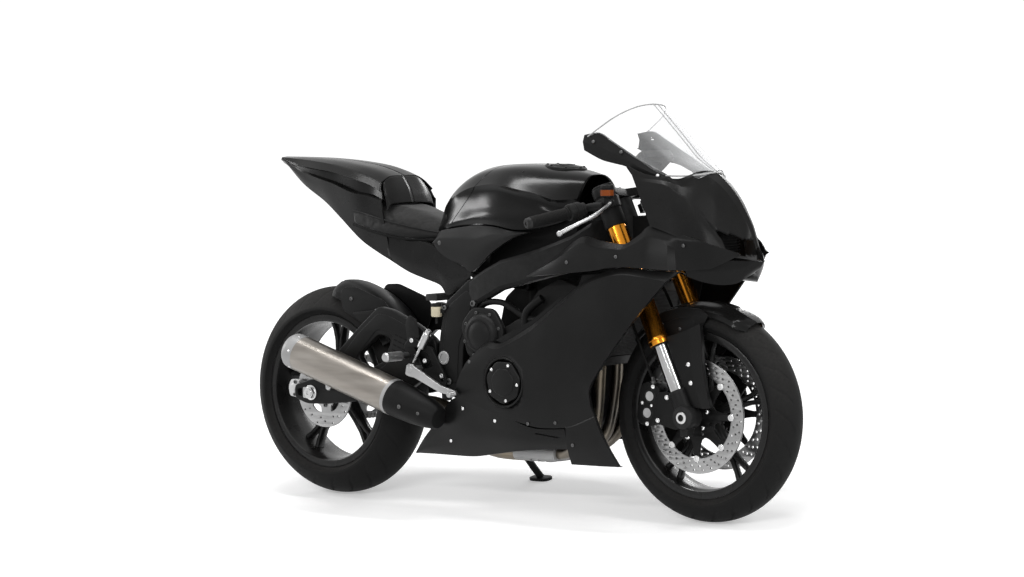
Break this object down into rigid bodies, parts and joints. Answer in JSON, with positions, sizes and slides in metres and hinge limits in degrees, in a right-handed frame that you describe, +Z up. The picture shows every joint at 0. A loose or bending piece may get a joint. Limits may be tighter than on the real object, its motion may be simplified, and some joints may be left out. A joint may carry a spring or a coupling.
{
  "type": "motorcycle",
  "caption": "Black middleweight sport bike with full fairing, gold upside-down fork, clear screen and side silencer, parked on its side stand.",
  "frame": {"origin": "middle of the bounding box's bottom face, on the floor under the parked bike", "axes": "+X forward, +Y to the rider's left, +Z up; the bike leans 10 degrees to its left, onto the stand"},
  "size_m": [1.9899, 0.6864, 1.1458],
  "materials": {
    "tyre_rubber": "matte, sparse grooves",
    "rim_black": "gloss black paint",
    "disc_steel": "drilled and ground",
    "carrier_black": "black anodised",
    "sprocket_steel": "oiled steel",
    "chain_steel": "oiled steel",
    "gold_alloy": "gold anodised",
    "chrome_tube": "polished",
    "cast_black": "satin black",
    "clamp_black": "black anodised",
    "bar_black": "satin black",
    "grip_rubber": "ribbed",
    "control_black": "fine grain",
    "lever_black": "black anodised",
    "caliper_black": "satin black, bright bolts",
    "hose_black": "smooth",
    "guard_black": "gloss over satin flaps",
    "frame_black": "satin black",
    "swingarm_black": "satin black",
    "axle_steel": "turned steel",
    "caliper_silver": "cast",
    "shock_dark": "dark spring, steel rod",
    "engine_dark": "cast and coated",
    "cover_black": "satin cast covers",
    "radiator_dark": "finned core",
    "header_steel": "heat-tinted steel",
    "silencer_titanium": "brushed along its length",
    "shroud_black": "satin black",
    "alloy_silver": "knurled and brushed",
    "plate_black": "satin black",
    "cup_beige": "milky, black cap",
    "tank_black": "gloss black paint",
    "cover_satin": "satin black",
    "seat_vinyl": "grained cover with seams",
    "tail_black": "gloss black, grey tip",
    "fairing_black": "satin to gloss black",
    "inner_black": "grained",
    "cowl_black": "gloss black",
    "screen_clear": "clear",
    "surround_black": "satin black",
    "dash_black": "matt case, dark glass",
    "duct_black": "matt",
    "stand_black": "satin black"
  },
  "bodies": {
    "chassis": {"air_duct": "duct_black", "drive_chain": "chain_steel", "engine_block": "engine_dark", "engine_covers": "cover_black", "exhaust_headers": "header_steel", "foot_pedals": "alloy_silver", "foot_pegs": "alloy_silver", "frame_spars": "frame_black", "fuel_tank": "tank_black", "inner_panels": "inner_black", "instrument_dash": "dash_black", "lower_cowl_left": "fairing_black", "lower_cowl_right": "fairing_black", "radiator": "radiator_dark", "rear_axle": "axle_steel", "rear_caliper": "caliper_silver", "rear_fluid_cup": "cup_beige", "rear_hugger": "guard_black", "rear_shock": "shock_dark", "rearset_plates": "plate_black", "rider_seat": "seat_vinyl", "screen_surround": "surround_black", "side_fairing_left": "fairing_black", "side_fairing_right": "fairing_black", "silencer": "silencer_titanium", "silencer_shroud": "shroud_black", "stand_bracket": "stand_black", "steering_head": "frame_black", "subframe": "frame_black", "swingarm": "swingarm_black", "tail_cowl": "tail_black", "tank_covers": "cover_satin", "upper_cowl": "cowl_black", "upper_side_panels": "fairing_black", "windscreen": "screen_clear"},
    "steering": {"fork_outer_tubes": "gold_alloy", "fork_inner_tubes": "chrome_tube", "fork_feet": "cast_black", "front_axle": "axle_steel", "triple_clamps": "clamp_black", "clip_on_bars": "bar_black", "hand_grips": "grip_rubber", "hand_controls": "control_black", "hand_levers": "lever_black", "front_calipers": "caliper_black", "front_mudguard": "guard_black", "front_brake_hoses": "hose_black"},
    "front_wheel": {"front_tyre": "tyre_rubber", "front_rim": "rim_black", "front_brake_discs": "disc_steel", "front_disc_carriers": "carrier_black"},
    "rear_wheel": {"rear_tyre": "tyre_rubber", "rear_rim": "rim_black", "rear_brake_disc": "disc_steel", "rear_sprocket": "sprocket_steel"},
    "side_stand": {"side_stand": "stand_black"}
  },
  "joints": [
    {"name": "steering_turn", "type": "hinge", "parent": "chassis", "child": "steering", "pos_m": [0.43672, -0.0072, 0.78683], "axis": [-0.4067, 0.1586, 0.8997], "range_deg": [-27, 27]},
    {"name": "front_wheel_spin", "type": "hinge", "parent": "steering", "child": "front_wheel", "pos_m": [0.695, -0.09367, 0.29639], "axis": [0, 0.9848, -0.1736], "continuous": true},
    {"name": "rear_wheel_spin", "type": "hinge", "parent": "chassis", "child": "rear_wheel", "pos_m": [-0.68, -0.09098, 0.31168], "axis": [0, 0.9848, -0.1736], "continuous": true},
    {"name": "side_stand_fold", "type": "hinge", "parent": "chassis", "child": "side_stand", "pos_m": [-0.16, 0.03738, 0.17584], "axis": [0.0431, 0.8994, 0.435], "range_deg": [0, 108.2]}
  ]
}
